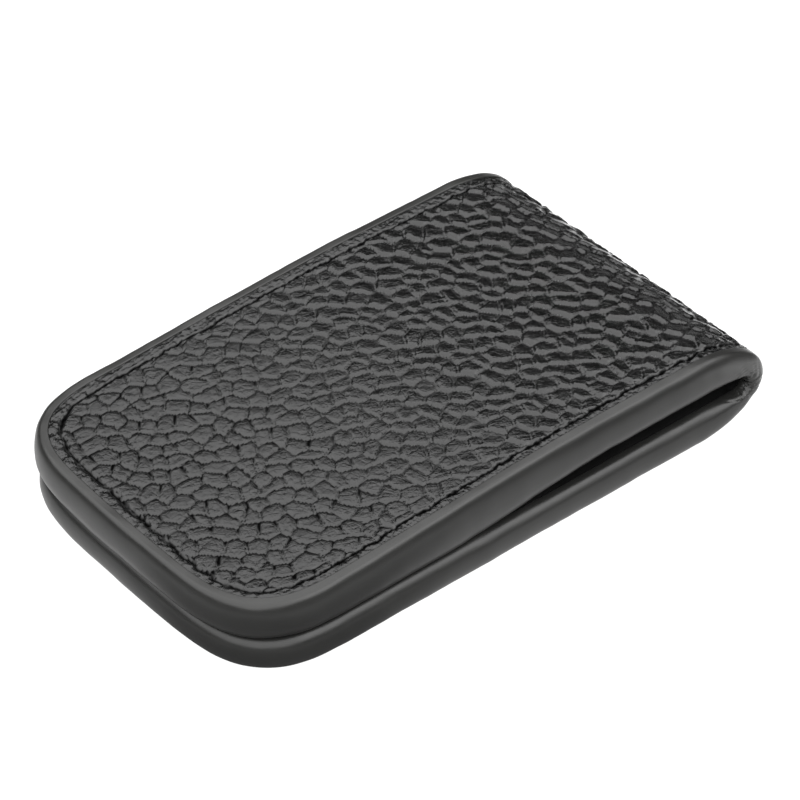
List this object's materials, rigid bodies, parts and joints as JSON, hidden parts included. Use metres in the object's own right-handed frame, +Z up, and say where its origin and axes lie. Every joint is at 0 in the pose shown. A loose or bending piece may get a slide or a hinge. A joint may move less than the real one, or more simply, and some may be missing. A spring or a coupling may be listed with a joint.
{
  "type": "money clip",
  "caption": "Folded leather money clip: a thin padded leg and a thicker arched leg joined by a leather fold and closed by hidden magnets, with rounded painted edges.",
  "frame": {"origin": "middle of the underside of the lower leg, at half the length and half the width of the closed clip", "axes": "+X along the clip's length towards the fold, +Y across its width, +Z up through its thickness, from the lower leg to the upper one"},
  "size_m": [0.07, 0.0426, 0.0108],
  "materials": {
    "pebbled_leather": "black pebble-grained leather, semi-gloss on the tops of the grain and dull in its creases",
    "lining": "smooth black lining, matt",
    "edge_paint": "thick rounded dark grey edge paint, satin",
    "foam": "hidden padding, matt",
    "fibre_board": "hidden pressed-fibre stiffener",
    "magnet_plating": "hidden nickel-plated magnets"
  },
  "bodies": {
    "lower_leg": {"lower_outer_leather": "pebbled_leather", "lower_foam_pad": "foam", "lower_stiffener_board": "fibre_board", "lower_magnet_near": "magnet_plating", "lower_magnet_far": "magnet_plating", "lower_lining": "lining", "lower_edge_bead": "edge_paint"},
    "fold": {"fold_outer_leather": "pebbled_leather", "fold_lining": "lining", "fold_edge_bead_near": "edge_paint", "fold_edge_bead_far": "edge_paint"},
    "upper_leg": {"upper_outer_leather": "pebbled_leather", "upper_foam_pad": "foam", "upper_stiffener_board": "fibre_board", "upper_magnet_near": "magnet_plating", "upper_magnet_far": "magnet_plating", "upper_lining": "lining", "upper_edge_bead": "edge_paint"}
  },
  "joints": [
    {"name": "fold_lower", "type": "hinge", "parent": "lower_leg", "child": "fold", "pos_m": [0.0335, 0, 0.0015], "axis": [0, 1, 0], "range_deg": [0, 90], "stiffness_Nm_per_rad": 0.004},
    {"name": "fold_upper", "type": "hinge", "parent": "fold", "child": "upper_leg", "pos_m": [0.0335, 0, 0.0093], "axis": [0, 1, 0], "range_deg": [0, 90], "stiffness_Nm_per_rad": 0.004}
  ],
  "couplings": [
    {"joint": "fold_upper", "follows": "fold_lower", "ratio": 1}
  ]
}
